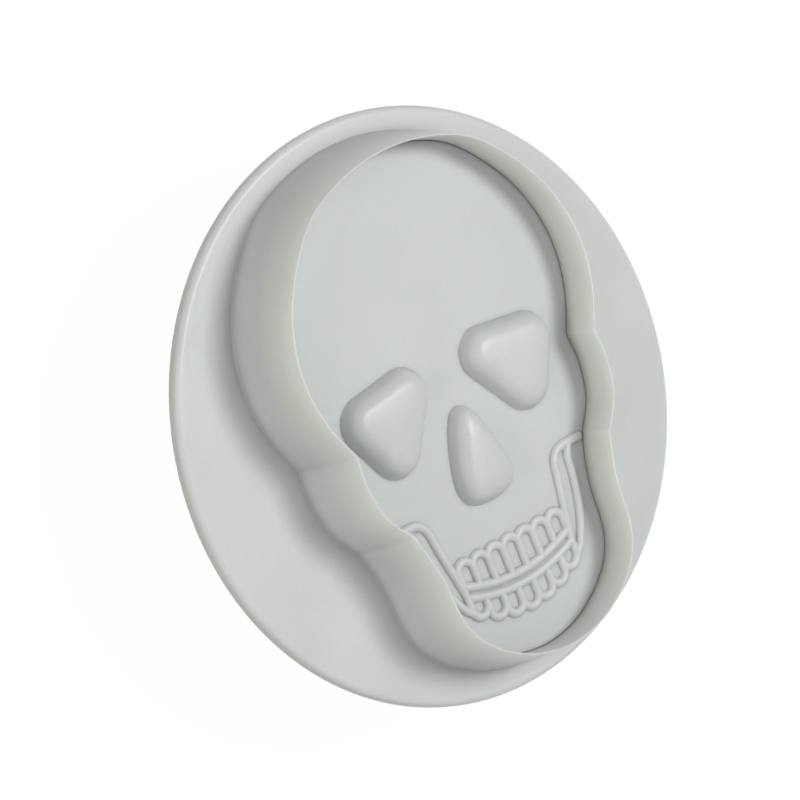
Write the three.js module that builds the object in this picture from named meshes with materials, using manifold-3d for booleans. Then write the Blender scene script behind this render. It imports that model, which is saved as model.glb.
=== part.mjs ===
// A skull cookie cutter with a spring plunger: a round disc carries a blade wall with a skull outline, and an
// embossing plate slides inside the wall. Millimetres, +Z up, blade up, standing on the flat end of its palm knob.
import * as THREE from "three";
import { mergeVertices } from "three/addons/utils/BufferGeometryUtils.js";
import Module from "manifold-3d";

// Disc
const DISC_DIAMETER = 90;
const DISC_THICKNESS = 1.3;
const LIP_DEPTH = 2.2;
const LIP_WIDTH = 2.2;
const FRONT_EDGE_RADIUS = 1;
const BACK_EDGE_RADIUS = 0.6;
const BACK_RIBS = 6;
const BACK_RIB_WIDTH = 1.2;

// Blade wall
const BLADE_HEIGHT = 13;
const BLADE_TIP = 0.5;
const BLADE_ROOT = 2.15;

// Embossing plate
const PLATE_FACE_HEIGHT = 6.1;
const PLATE_THICKNESS = 1.6;
const SKIRT_THICKNESS = 1.4;
const STIFFENER_WIDTH = 1.2;
const EYE_HEIGHT = 2.9;
const NOSE_HEIGHT = 2.9;
const LINE_HEIGHT = 0.6;
const LINE_WIDTH = 1.4;

// Guide, stem and screw
const TRAVEL = 8;
const GUIDE_LENGTH = 8;
const GUIDE_WALL = 2.2;
const STEM_DIAMETER = 10.3;
const STEM_BORE = 7;
const STEM_SOCKET_DEPTH = 3;
const PLATE_BOSS_WALL = 2.2;
const POST_LENGTH = 12;
const SCREW_DIAMETER = 3;
const SCREW_HEAD_DIAMETER = 6;
const SCREW_HEAD_HEIGHT = 1.8;
const WASHER_DIAMETER = 6.8;
const WASHER_THICKNESS = 0.5;
const CROSS_SLOT_LENGTH = 3.4;
const CROSS_SLOT_WIDTH = 0.7;
const CROSS_SLOT_DEPTH = 1;

// Knob and cap
const KNOB_DIAMETER = 36;
const KNOB_HEIGHT = 11;
const KNOB_WALL = 2.4;
const KNOB_FLOOR = 3.4;
const KNOB_END_RADIUS = 4;
const KNOB_LIP_RADIUS = 0.8;
const KNOB_WEB = 1.2;
const KNOB_BOSS_WALL = 1.95;
const SPRING_RING_WALL = 1;
const SPRING_RING_HEIGHT = 1.4;
const CAP_DIAMETER = 13.5;
const CAP_THICKNESS = 1.2;
const CAP_RECESS = 0.3;
const CAP_CHAMFER = 0.3;

// Spring
const WIRE_DIAMETER = 1.2;
const SPRING_TURNS = 8;
const END_PITCH = 1.75;
const WIRE_SIDES = 5;
const STEPS_PER_TURN = 8;

// Clearances
const SEAM_CLEARANCE = 0.35;
const SLIDE_CLEARANCE = 0.15;
const FIT_CLEARANCE = 0.1;
const SEAT_CLEARANCE = 0.3;
const SPRING_CLEARANCE = 0.7;

// Skull outline along the middle of the blade's tip, right half, from the crown to the chin
const CROWN = [[0, 39.7], [7.7, 38.8], [15.3, 35.9], [20.8, 30.9], [25, 24.8], [27.2, 18.6], [27.7, 12.8],
  [26.6, 6.8], [24, 0.9]];
const CHEEK = [[24, 0.9], [24.3, -3.4], [23.6, -7.8], [22.3, -10.6], [19.9, -13.8]];
const JAW = [[19.9, -13.8], [18.6, -18], [17.8, -21.9], [17.5, -26.4], [16.6, -30.1], [14.5, -33.3],
  [11.1, -36.1], [6.2, -38.5], [0, -39.5]];
const CROWN_STEPS = 44;
const CHEEK_STEPS = 7;
const JAW_STEPS = 34;

// Face: eyes and nose
const EYE_CORNERS = [[-1, 9.9], [22.9, 6.8], [13.6, -10.6]];
const EYE_RADII = [4.2, 4.3, 4.5];
const EYE_SLOPE = 2.7;
const NOSE = [[0, -0.7], [1.5, -1.3], [2.8, -3.2], [3.8, -5.6], [4.6, -8.1], [5.2, -10.6], [5.2, -13],
  [4.3, -14.8], [2.3, -15.7], [0, -15.9]];
const NOSE_SLOPE = 1.7;

// Face: two rows of teeth on one pitch. Each curve is the middle of a raised line and rises towards its ends.
const TEETH = 7;
const TOOTH_PITCH = 3.05;
const UPPER_ARCHES = { middle: -22, rise: 0 };
const UPPER_LIP = { middle: -27.5, rise: 0.0185 };
const LOWER_LIP = { middle: -29.2, rise: 0.0177 };
const LOWER_ARCHES = { middle: -33.1, rise: 0.0284 };

// Face: jaw lines on the right, each from its lower end upwards
const INNER_JAW_LINE = [[10.7, -26.6], [11.1, -24.6], [12, -20.3], [12.5, -17.8], [12.8, -15.8], [13.6, -14.4],
  [15.2, -13.7], [18.9, -13.7]];
const OUTER_JAW_LINE = [[10.1, -30.2], [11.9, -28.4], [13.2, -26], [14.2, -23.5], [14.9, -20.7], [15.4, -17.7],
  [15.6, -15.6], [16.5, -13.9]];

// Levels, from the flat end of the knob upwards
const discRadius = DISC_DIAMETER / 2;
const capTop = CAP_RECESS + CAP_THICKNESS;
const capLedge = capTop + FIT_CLEARANCE;
const headBottom = capLedge + FIT_CLEARANCE;
const headTop = headBottom + SCREW_HEAD_HEIGHT;
const washerTop = headTop + WASHER_THICKNESS;
const stemFoot = washerTop + KNOB_WEB;
const bossTop = stemFoot + STEM_SOCKET_DEPTH;
const guideEnd = bossTop + TRAVEL + SEAT_CLEARANCE;
const discBack = guideEnd + GUIDE_LENGTH;
const discFace = discBack + DISC_THICKNESS;
const lipBack = discFace - LIP_DEPTH;
const plateFoot = discFace + SEAT_CLEARANCE;
const plateFace = discFace + PLATE_FACE_HEIGHT;
const plateBack = plateFace - PLATE_THICKNESS;
const bladeTop = discFace + BLADE_HEIGHT;
const EMBED = 1;

// Radii of what slides and fits
const stemRadius = STEM_DIAMETER / 2;
const guideBore = stemRadius + SLIDE_CLEARANCE;
const guideRadius = guideBore + GUIDE_WALL;
const springInner = guideRadius + SPRING_CLEARANCE;
const springRadius = springInner + WIRE_DIAMETER / 2;
const springOuter = springInner + WIRE_DIAMETER;
const springRing = springOuter + SPRING_CLEARANCE / 2;
const screwHole = SCREW_DIAMETER / 2 + SLIDE_CLEARANCE;

const wasm = await Module();
wasm.setup();

// A closed three.js geometry as a solid that can be joined and cut.
function solid(geometry) {
  const g = geometry.index ? geometry.toNonIndexed() : geometry.clone();
  g.deleteAttribute("normal");
  g.deleteAttribute("uv");
  const merged = mergeVertices(g, 1e-4);
  return new wasm.Manifold(
    new wasm.Mesh({
      numProp: 3,
      vertProperties: merged.attributes.position.array,
      triVerts: new Uint32Array(merged.index.array),
    }),
  );
}

function geometryOf(manifold) {
  const mesh = manifold.getMesh();
  const geometry = new THREE.BufferGeometry();
  geometry.setAttribute("position", new THREE.BufferAttribute(new Float32Array(mesh.vertProperties), 3));
  geometry.setIndex(new THREE.BufferAttribute(new Uint32Array(mesh.triVerts), 1));
  geometry.computeVertexNormals();
  return geometry;
}

const joined = (solids) => solids.reduce((a, b) => a.add(b));
const vectors = (pairs) => pairs.map(([x, y]) => new THREE.Vector2(x, y));
const mirrored = (points) => points.map((p) => new THREE.Vector2(-p.x, p.y)).reverse();

// The whole skull outline, anticlockwise from the left end of the crown's run, moved outwards by offset.
function skullOutline(offset) {
  const through = (points, steps) => new THREE.SplineCurve(points).getSpacedPoints(steps);
  const crown = vectors(CROWN);
  const jaw = vectors(JAW);
  const cheek = through(vectors(CHEEK), CHEEK_STEPS);
  const top = through([...mirrored(crown), ...crown.slice(1)], CROWN_STEPS);
  const bottom = through([...jaw, ...mirrored(jaw).slice(1)], JAW_STEPS);
  const loop = [...top, ...cheek.slice(1), ...bottom.slice(1), ...mirrored(cheek).slice(1, -1)].reverse();
  return loop.map((point, i) => {
    const before = loop[(i + loop.length - 1) % loop.length];
    const after = loop[(i + 1) % loop.length];
    const a = point.clone().sub(before).normalize();
    const b = after.clone().sub(point).normalize();
    const mean = a.clone().add(b).normalize();
    const outward = new THREE.Vector2(mean.y, -mean.x);
    return point.clone().addScaledVector(outward, offset / mean.dot(a));
  });
}

// An upright prism over an outline, from one level to another.
function prism(points, bottom, top) {
  const geometry = new THREE.ExtrudeGeometry(new THREE.Shape(points), {
    depth: top - bottom,
    bevelEnabled: false,
  });
  return solid(geometry.translate(0, 0, bottom));
}

// A ring of walls: each level gives an outline's offset and height, and the last level joins the first.
function outlineBand(levels) {
  const rings = levels.map(([offset, z]) => skullOutline(offset).map((p) => [p.x, p.y, z]));
  const count = rings[0].length;
  const index = [];
  rings.forEach((ring, k) => {
    const next = (k + 1) % rings.length;
    for (let i = 0; i < count; i++) {
      const j = (i + 1) % count;
      const corners = [k * count + i, k * count + j, next * count + j, next * count + i];
      index.push(corners[0], corners[1], corners[2], corners[0], corners[2], corners[3]);
    }
  });
  const geometry = new THREE.BufferGeometry();
  geometry.setAttribute("position", new THREE.Float32BufferAttribute(rings.flat(2), 3));
  geometry.setIndex(index);
  return solid(geometry);
}

// A turned piece from a closed profile of [radius, height] points, whichever way round they are given.
function turned(profile, segments) {
  const points = vectors(profile);
  const area = THREE.ShapeUtils.area(points);
  if (area < 0) points.reverse();
  const onAxis = points.every((p) => p.x > 0) ? [...points, points[0].clone()] : points;
  return solid(new THREE.LatheGeometry(onAxis, segments).rotateX(Math.PI / 2));
}

// Points of a quarter-round or other arc in a profile.
function arc(centreR, centreZ, radius, from, to, steps) {
  return Array.from({ length: steps + 1 }, (_, i) => {
    const angle = THREE.MathUtils.degToRad(from + ((to - from) * i) / steps);
    return [centreR + radius * Math.cos(angle), centreZ + radius * Math.sin(angle)];
  });
}

// A polygon whose corners are rounded, each to its own radius.
function roundedPolygon(corners, radii, steps) {
  const points = vectors(corners);
  return points.flatMap((corner, i) => {
    const toLast = points[(i + points.length - 1) % points.length].clone().sub(corner).normalize();
    const toNext = points[(i + 1) % points.length].clone().sub(corner).normalize();
    const half = Math.acos(toLast.dot(toNext)) / 2;
    const centre = corner
      .clone()
      .addScaledVector(toLast.clone().add(toNext).normalize(), radii[i] / Math.sin(half));
    const start = corner.clone().addScaledVector(toLast, radii[i] / Math.tan(half)).sub(centre);
    const end = corner.clone().addScaledVector(toNext, radii[i] / Math.tan(half)).sub(centre);
    const turn = Math.atan2(start.cross(end), start.dot(end));
    return Array.from({ length: steps + 1 }, (_, k) =>
      start.clone().rotateAround(new THREE.Vector2(), (turn * k) / steps).add(centre),
    );
  });
}

// A raised boss with sloping sides and a rounded top edge on the plate's face.
function boss(points, height, slope) {
  const geometry = new THREE.ExtrudeGeometry(new THREE.Shape(points), {
    depth: EMBED,
    bevelThickness: height,
    bevelSize: slope,
    bevelOffset: -slope,
    bevelSegments: 3,
  });
  const raised = solid(geometry.translate(0, 0, plateFace - EMBED));
  return raised.subtract(solid(new THREE.BoxGeometry(DISC_DIAMETER, DISC_DIAMETER, 2 * height)
    .translate(0, 0, plateFace - EMBED / 2 - height)));
}

// A raised line of even width along a smooth run of points.
function line(points, steps) {
  const run = new THREE.SplineCurve(points);
  const side = (sign) =>
    Array.from({ length: steps + 1 }, (_, i) => {
      const tangent = run.getTangentAt(i / steps);
      return run.getPointAt(i / steps).add(new THREE.Vector2(-tangent.y, tangent.x)
        .multiplyScalar((sign * LINE_WIDTH) / 2));
    });
  return prism([...side(-1), ...side(1).reverse()], plateFace - EMBED, plateFace + LINE_HEIGHT);
}

const toothX = (i) => (i - (TEETH - 1) / 2) * TOOTH_PITCH;
const onCurve = (curve, x) => curve.middle + curve.rise * x ** 2;

// One tooth cell: straight sides, one end on a curve and the other a half round.
function cell(i, halfWidth, flat, round) {
  const x = toothX(i);
  const up = Math.sign(round - flat);
  const steps = 5;
  const end = Array.from({ length: steps + 1 }, (_, k) => {
    const angle = (Math.PI * k) / steps;
    return [x + halfWidth * Math.cos(angle), round - up * halfWidth + up * halfWidth * Math.sin(angle)];
  });
  const points = vectors([...end, [x - halfWidth, flat], [x + halfWidth, flat]]);
  if (THREE.ShapeUtils.area(points) < 0) points.reverse();
  return points;
}

// Both rows of teeth, each a row of open cells inside raised lines, with a groove along the bite.
function teeth() {
  const bottom = plateFace - EMBED;
  const top = plateFace + LINE_HEIGHT;
  const half = TOOTH_PITCH / 2;
  const open = half - LINE_WIDTH / 2;
  const closed = half + LINE_WIDTH / 2;
  const raised = [];
  const cells = [];
  for (let i = 0; i < TEETH; i++) {
    const x = toothX(i);
    const bite = (onCurve(UPPER_LIP, x) + onCurve(LOWER_LIP, x)) / 2;
    const upperEnd = onCurve(UPPER_ARCHES, x);
    const lowerEnd = onCurve(LOWER_ARCHES, x);
    raised.push(prism(cell(i, closed, bite, upperEnd + LINE_WIDTH / 2), bottom, top));
    raised.push(prism(cell(i, closed, bite, lowerEnd - LINE_WIDTH / 2), bottom, top));
    const upperCell = cell(i, open, onCurve(UPPER_LIP, x) + LINE_WIDTH / 2, upperEnd - LINE_WIDTH / 2);
    const lowerCell = cell(i, open, onCurve(LOWER_LIP, x) - LINE_WIDTH / 2, lowerEnd + LINE_WIDTH / 2);
    cells.push(prism(upperCell, plateFace, top + EMBED), prism(lowerCell, plateFace, top + EMBED));
  }
  const reach = (TEETH / 2) * TOOTH_PITCH + LINE_WIDTH;
  const along = (curve, shift) =>
    Array.from({ length: 2 * TEETH + 1 }, (_, k) => {
      const x = -reach + (reach * k) / TEETH;
      return new THREE.Vector2(x, onCurve(curve, x) + shift);
    });
  const groove = prism(
    [...along(LOWER_LIP, LINE_WIDTH / 2), ...along(UPPER_LIP, -LINE_WIDTH / 2).reverse()],
    plateFace,
    top + EMBED,
  );
  return joined(raised).subtract(joined([...cells, groove]));
}

// The tray of the plate with its skirt, stiffeners and the boss and post behind, and the raised face in front.
function stampPlate() {
  const edge = -(BLADE_TIP / 2 + SEAM_CLEARANCE);
  const outer = prism(skullOutline(edge), plateFoot, plateFace);
  const hollow = prism(skullOutline(edge - SKIRT_THICKNESS), plateFoot - EMBED, plateBack);
  const height = plateBack - plateFoot + EMBED / 2;
  const middle = plateFoot + height / 2;
  const stiffeners = [
    new THREE.BoxGeometry(STIFFENER_WIDTH, DISC_DIAMETER, height).translate(0, 0, middle),
    new THREE.BoxGeometry(DISC_DIAMETER, STIFFENER_WIDTH, height).translate(0, 0, middle),
  ].map((box) => solid(box).intersect(outer));
  const bossBore = stemRadius + FIT_CLEARANCE;
  const rim = bossBore + PLATE_BOSS_WALL;
  const rear = turned([[0, plateFoot], [rim, plateFoot], [rim, plateBack + EMBED / 2],
    [0, plateBack + EMBED / 2]], 48);
  const bore = turned([[0, plateFoot - EMBED], [bossBore, plateFoot - EMBED], [bossBore, plateBack],
    [0, plateBack]], 48);
  const postRadius = STEM_BORE / 2 - SLIDE_CLEARANCE;
  const postEnd = plateBack - POST_LENGTH;
  const post = turned([[0, postEnd], [postRadius, postEnd], [postRadius, plateBack + EMBED / 2],
    [0, plateBack + EMBED / 2]], 32);
  const pilot = turned([[0, postEnd - EMBED], [screwHole, postEnd - EMBED], [screwHole, plateBack],
    [0, plateBack]], 24);
  const tray = joined([outer.subtract(hollow), ...stiffeners, rear]).subtract(bore).add(post).subtract(pilot);
  const eye = roundedPolygon(EYE_CORNERS, EYE_RADII, 6);
  const nose = vectors(NOSE);
  const noseLoop = new THREE.SplineCurve([...nose, ...mirrored(nose).slice(1)]).getSpacedPoints(28).slice(1);
  const face = [
    boss(eye, EYE_HEIGHT, EYE_SLOPE),
    boss(mirrored(eye), EYE_HEIGHT, EYE_SLOPE),
    boss(noseLoop, NOSE_HEIGHT, NOSE_SLOPE),
    teeth(),
  ];
  [[INNER_JAW_LINE, 12], [OUTER_JAW_LINE, 12]].forEach(([points, steps]) => {
    face.push(line(vectors(points), steps), line(mirrored(vectors(points)), steps));
  });
  const bounds = prism(skullOutline(edge), plateFoot - POST_LENGTH, bladeTop);
  return tray.add(joined(face).intersect(bounds));
}

// The disc with its lip and guide tube, the ribs behind and the blade wall in front.
function cutterBody() {
  const disc = turned([
    [guideBore, discFace],
    ...arc(discRadius - FRONT_EDGE_RADIUS, discFace - FRONT_EDGE_RADIUS, FRONT_EDGE_RADIUS, 90, 0, 4),
    ...arc(discRadius - BACK_EDGE_RADIUS, lipBack + BACK_EDGE_RADIUS, BACK_EDGE_RADIUS, 0, -90, 2),
    [discRadius - LIP_WIDTH, lipBack],
    [discRadius - LIP_WIDTH, discBack],
    [guideRadius, discBack],
    [guideRadius, guideEnd],
    [guideBore, guideEnd],
  ], 72);
  const wall = outlineBand([
    [BLADE_ROOT - BLADE_TIP / 2, discFace - EMBED],
    [BLADE_ROOT - BLADE_TIP / 2, discFace],
    [BLADE_TIP / 2, bladeTop],
    [-BLADE_TIP / 2, bladeTop],
    [-BLADE_TIP / 2, discFace - EMBED],
  ]);
  const ribStart = springRing;
  const ribEnd = discRadius - LIP_WIDTH / 2;
  const ribDepth = discBack - lipBack;
  const ribs = Array.from({ length: BACK_RIBS }, (_, i) =>
    solid(new THREE.BoxGeometry(ribEnd - ribStart, BACK_RIB_WIDTH, ribDepth + EMBED)
      .translate((ribStart + ribEnd) / 2, 0, lipBack + (ribDepth + EMBED) / 2)
      .rotateZ(((i + 0.5) * 2 * Math.PI) / BACK_RIBS)),
  );
  const ring = turned([[springRing, lipBack], [springRing + SPRING_RING_WALL, lipBack],
    [springRing + SPRING_RING_WALL, discBack + EMBED], [springRing, discBack + EMBED]], 48);
  return joined([disc, wall, ring, ...ribs]);
}

function palmKnob() {
  const radius = KNOB_DIAMETER / 2;
  const inner = radius - KNOB_WALL;
  const headRecess = WASHER_DIAMETER / 2 + SLIDE_CLEARANCE;
  const capRecess = CAP_DIAMETER / 2 + FIT_CLEARANCE;
  const socket = stemRadius + FIT_CLEARANCE;
  const bossRadius = socket + KNOB_BOSS_WALL;
  const inside = KNOB_WALL / 2;
  return turned([
    [screwHole, washerTop],
    [headRecess, washerTop],
    [headRecess, capLedge],
    [capRecess, capLedge],
    [capRecess, 0],
    ...arc(radius - KNOB_END_RADIUS, KNOB_END_RADIUS, KNOB_END_RADIUS, -90, 0, 5),
    ...arc(radius - KNOB_LIP_RADIUS, KNOB_HEIGHT - KNOB_LIP_RADIUS, KNOB_LIP_RADIUS, 0, 90, 3),
    [inner, KNOB_HEIGHT],
    [inner, KNOB_FLOOR + inside],
    [inner - inside, KNOB_FLOOR],
    [springRing + SPRING_RING_WALL, KNOB_FLOOR],
    [springRing + SPRING_RING_WALL, KNOB_FLOOR + SPRING_RING_HEIGHT],
    [springRing, KNOB_FLOOR + SPRING_RING_HEIGHT],
    [springRing, KNOB_FLOOR],
    [bossRadius, KNOB_FLOOR],
    [bossRadius, bossTop],
    [socket, bossTop],
    [socket, stemFoot],
    [screwHole, stemFoot],
  ], 48);
}

function plungerStem() {
  const foot = stemFoot + FIT_CLEARANCE;
  const head = plateBack - FIT_CLEARANCE;
  return turned([[STEM_BORE / 2, foot], [stemRadius, foot], [stemRadius, head], [STEM_BORE / 2, head]], 48);
}

function plungerScrew() {
  const tip = plateBack - SEAT_CLEARANCE;
  const head = SCREW_HEAD_DIAMETER / 2;
  const shank = SCREW_DIAMETER / 2;
  const edge = SCREW_HEAD_HEIGHT / 4;
  const body = turned([
    [0, headBottom],
    [head - edge, headBottom],
    [head, headBottom + edge],
    [head, headTop - FIT_CLEARANCE],
    [shank, headTop - FIT_CLEARANCE],
    [shank, tip - shank],
    [0, tip],
  ], 24);
  const slot = () => new THREE.BoxGeometry(CROSS_SLOT_LENGTH, CROSS_SLOT_WIDTH, 2 * CROSS_SLOT_DEPTH)
    .translate(0, 0, headBottom);
  return body.subtract(solid(slot())).subtract(solid(slot().rotateZ(Math.PI / 2)));
}

function screwWasher() {
  return turned([[screwHole, headTop], [WASHER_DIAMETER / 2, headTop],
    [WASHER_DIAMETER / 2, washerTop - FIT_CLEARANCE], [screwHole, washerTop - FIT_CLEARANCE]], 32);
}

function knobCap() {
  const radius = CAP_DIAMETER / 2;
  return turned([[0, CAP_RECESS], [radius - CAP_CHAMFER, CAP_RECESS], [radius, CAP_RECESS + CAP_CHAMFER],
    [radius, capTop], [0, capTop]], 48);
}

// The spring's wire as one tube: closed-up turns at both ends, even turns between, and straight wire ends.
function returnSpring() {
  const low = KNOB_FLOOR + FIT_CLEARANCE / 2 + WIRE_DIAMETER / 2;
  const high = discBack - FIT_CLEARANCE / 2 - WIRE_DIAMETER / 2;
  const pitch = (high - low - 2 * END_PITCH) / (SPRING_TURNS - 2);
  const heightAt = (turn) => {
    if (turn < 1) return low + END_PITCH * turn;
    if (turn > SPRING_TURNS - 1) return high - END_PITCH * (SPRING_TURNS - turn);
    return low + END_PITCH + pitch * (turn - 1);
  };
  const steps = SPRING_TURNS * STEPS_PER_TURN;
  const middles = Array.from({ length: steps + 1 }, (_, i) => {
    const turn = (i * SPRING_TURNS) / steps;
    const angle = 2 * Math.PI * turn;
    return new THREE.Vector3(springRadius * Math.cos(angle), springRadius * Math.sin(angle), heightAt(turn));
  });
  const straight = (angle, sign) =>
    new THREE.Vector3(-Math.sin(angle), Math.cos(angle), 0).multiplyScalar(sign * WIRE_DIAMETER);
  const lastAngle = 2 * Math.PI * SPRING_TURNS;
  middles.unshift(middles[0].clone().add(straight(0, -1)));
  middles.push(middles[steps + 1].clone().add(straight(lastAngle, 1)));
  const positions = [];
  middles.forEach((middle, i) => {
    const ahead = middles[Math.min(i + 1, middles.length - 1)];
    const behind = middles[Math.max(i - 1, 0)];
    const tangent = ahead.clone().sub(behind).normalize();
    const outward = new THREE.Vector3(middle.x, middle.y, 0).normalize();
    const up = new THREE.Vector3().crossVectors(outward, tangent).normalize();
    const side = new THREE.Vector3().crossVectors(tangent, up);
    for (let k = 0; k < WIRE_SIDES; k++) {
      const angle = (2 * Math.PI * k) / WIRE_SIDES;
      const point = middle.clone()
        .addScaledVector(side, (Math.cos(angle) * WIRE_DIAMETER) / 2)
        .addScaledVector(up, (Math.sin(angle) * WIRE_DIAMETER) / 2);
      positions.push(...point.toArray());
    }
  });
  const index = [];
  for (let i = 0; i + 1 < middles.length; i++) {
    for (let k = 0; k < WIRE_SIDES; k++) {
      const a = i * WIRE_SIDES + k;
      const b = i * WIRE_SIDES + ((k + 1) % WIRE_SIDES);
      index.push(a, b + WIRE_SIDES, b, a, a + WIRE_SIDES, b + WIRE_SIDES);
    }
  }
  const last = (middles.length - 1) * WIRE_SIDES;
  for (let k = 1; k + 1 < WIRE_SIDES; k++) {
    index.push(0, k, k + 1, last, last + k + 1, last + k);
  }
  const geometry = new THREE.BufferGeometry();
  geometry.setAttribute("position", new THREE.Float32BufferAttribute(positions, 3));
  geometry.setIndex(index);
  let gap = Infinity;
  middles.forEach((a, i) => middles.slice(i + STEPS_PER_TURN / 2).forEach((b) => {
    gap = Math.min(gap, a.distanceTo(b) - WIRE_DIAMETER);
  }));
  console.log("return_spring: least gap between turns " + gap.toFixed(2) + " mm");
  return geometry;
}

const PLASTIC = { color: 0xcdd2d0, roughness: 0.48, metalness: 0 };
const FINISHES = {
  plastic: PLASTIC,
  steel: { color: 0xb8babc, roughness: 0.28, metalness: 1 },
};

const cutter = new THREE.Group();

function addPiece(name, shape, finish, group) {
  const geometry = shape.isBufferGeometry ? shape : geometryOf(shape);
  geometry.computeVertexNormals();
  const mesh = new THREE.Mesh(geometry, new THREE.MeshStandardMaterial(FINISHES[finish]));
  mesh.name = name;
  group.add(mesh);
}

addPiece("cutter_body", cutterBody(), "plastic", cutter);
addPiece("return_spring", returnSpring(), "steel", cutter);

const plunger = new THREE.Group();
addPiece("stamp_plate", stampPlate(), "plastic", plunger);
addPiece("plunger_stem", plungerStem(), "plastic", plunger);
addPiece("palm_knob", palmKnob(), "plastic", plunger);
addPiece("knob_cap", knobCap(), "plastic", plunger);
addPiece("plunger_screw", plungerScrew(), "steel", plunger);
addPiece("screw_washer", screwWasher(), "steel", plunger);
cutter.add(plunger);

export default cutter;
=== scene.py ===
import math

import bpy
import bmesh
import numpy as np
from mathutils import Matrix, Vector
from mathutils.geometry import delaunay_2d_cdt

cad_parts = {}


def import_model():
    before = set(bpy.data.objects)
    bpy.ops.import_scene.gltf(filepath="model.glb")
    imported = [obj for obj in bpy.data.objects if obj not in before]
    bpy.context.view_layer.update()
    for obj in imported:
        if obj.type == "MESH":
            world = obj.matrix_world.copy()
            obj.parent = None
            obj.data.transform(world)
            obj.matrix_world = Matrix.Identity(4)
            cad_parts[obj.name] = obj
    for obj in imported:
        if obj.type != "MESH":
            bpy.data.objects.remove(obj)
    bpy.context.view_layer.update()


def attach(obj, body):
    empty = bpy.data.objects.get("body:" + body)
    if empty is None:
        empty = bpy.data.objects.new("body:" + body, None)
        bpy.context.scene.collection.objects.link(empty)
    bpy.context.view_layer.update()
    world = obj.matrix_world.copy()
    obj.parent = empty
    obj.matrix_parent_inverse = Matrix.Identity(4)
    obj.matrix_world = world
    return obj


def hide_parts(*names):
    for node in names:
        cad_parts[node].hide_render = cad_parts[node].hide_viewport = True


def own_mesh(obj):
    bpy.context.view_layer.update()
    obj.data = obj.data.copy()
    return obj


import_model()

MM = 0.001
TURN = 2 * math.pi

# Levels above the flat end of the knob, lowest first
CAP_FACE = 0.3
CAP_BACK = 1.5
CAP_LEDGE = 1.6
HEAD_BOTTOM = 1.7
HEAD_TOP = 3.4
WASHER_BOTTOM = 3.5
WASHER_TOP = 3.9
KNOB_FLOOR = 3.4
STEM_FOOT = 5.2
SOCKET_TOP = 8.2
KNOB_TOP = 11
GUIDE_END = 16.5
POST_END = 18.3
LIP_BACK = 23.6
DISC_BACK = 24.5
DISC_FACE = 25.8
PLATE_FOOT = 26.1
PLATE_BACK = 30.3
PLATE_FACE = 31.9
BLADE_TOP = 38.8

# Radii and widths of what turns and slides
DISC_RADIUS = 45
RIM_FRONT = 1
RIM_BACK = 0.6
LIP_WIDTH = 2.2
STEM_RADIUS = 5.15
STEM_BORE = 3.5
GUIDE_BORE = 5.3
GUIDE_RADIUS = 7.5
SPRING_RADIUS = 8.8
WIRE_RADIUS = 0.6
SPRING_SEAT = 9.75
SEAT_WALL = 1
SEAT_HEIGHT = 1.4
SOCKET_BORE = 5.25
PLATE_SOCKET = 7.45
POST_RADIUS = 3.35
SCREW_HOLE = 1.65
KNOB_RADIUS = 18
KNOB_WALL = 2.4
KNOB_BOSS = 7.2
WASHER_RADIUS = 3.4
WASHER_GAP = 0.15
CAP_RADIUS = 6.75
FIT = 0.1

# Spring: turns, height of its wire's middle at each end, rise of a closed end turn
SPRING_TURNS = 8
SPRING_LOW = 4.05
SPRING_HIGH = 23.85
CLOSED_RISE = 1.75

# Ribs behind the disc and webs behind the plate
RIBS = 6
RIB_ROOT_HALF = 0.65
RIB_EDGE_HALF = 0.55
RIB_STEP = 0.12
RIB_ROUND = 0.25
RIB_SUNK = 1
WEB_HALF = 0.6
WEB_REACH_ALONG = 38
WEB_REACH_ACROSS = 23.6
WEB_LIFT = 0.05
WEB_SUNK = 0.4

# Blade wall and edge of the plate: distances out from the skull outline, and widths of the flats beside them
TIP_INNER = -0.2
TIP_OUTER = -0.02
ROOT_OUTER = 1.9
ROOT_FILLET = 0.25
WALL_TAPER = 0.55
WALL_ROWS = (0.85, 0.7, 0.55, 0.4, 0.25, 0.12)
WELL_INSET = 3
FOOT_RUN = 1.6
RIM_RUN = 1.2
BORE_RUN = 1.5
SEAM_EDGE = -0.25
SEAM_ROUND = 0.08
SKIRT = 1.4
FLAT_RUN = 1

# Right half of the skull outline, just outside the blade's tip
CROWN = [(0, 39.7), (7.7, 38.8), (15.3, 35.9), (20.8, 30.9), (25, 24.8), (27.2, 18.6), (27.7, 12.8),
         (26.6, 6.8), (24, 0.9)]
CHEEK = [(24, 0.9), (24.3, -3.4), (23.6, -7.8), (22.3, -10.6), (19.9, -13.8)]
JAW = [(19.9, -13.8), (18.6, -18), (17.8, -21.9), (17.5, -26.4), (16.6, -30.1), (14.5, -33.3),
       (11.1, -36.1), (6.2, -38.5), (0, -39.5)]

# The raised face
EYE_CORNERS = [(-1, 9.9), (22.9, 6.8), (13.6, -10.6)]
EYE_RADII = [4.2, 4.3, 4.5]
NOSE = [(0, -0.7), (1.5, -1.3), (2.8, -3.2), (3.8, -5.6), (4.6, -8.1), (5.2, -10.6), (5.2, -13),
        (4.3, -14.8), (2.3, -15.7), (0, -15.9)]
TEETH = 7
TOOTH_PITCH = 3.05
UPPER_ARCHES = (-22, 0)
UPPER_LIP = (-27.5, 0.0185)
LOWER_LIP = (-29.2, 0.0177)
LOWER_ARCHES = (-33.1, 0.0284)
INNER_JAW_LINE = [(10.7, -26.6), (11.1, -24.6), (12, -20.3), (12.5, -17.8), (12.8, -15.8), (13.6, -14.4),
                  (15.2, -13.7), (18.9, -13.7)]
OUTER_JAW_LINE = [(10.1, -30.2), (11.9, -28.4), (13.2, -26), (14.2, -23.5), (14.9, -20.7), (15.4, -17.7),
                  (15.6, -15.6), (16.5, -13.9)]
LINE_HALF = 0.76
LINE_RISE = 0.6
LIP_FILL = 0.12
LIP_FADE = 1.2
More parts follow.
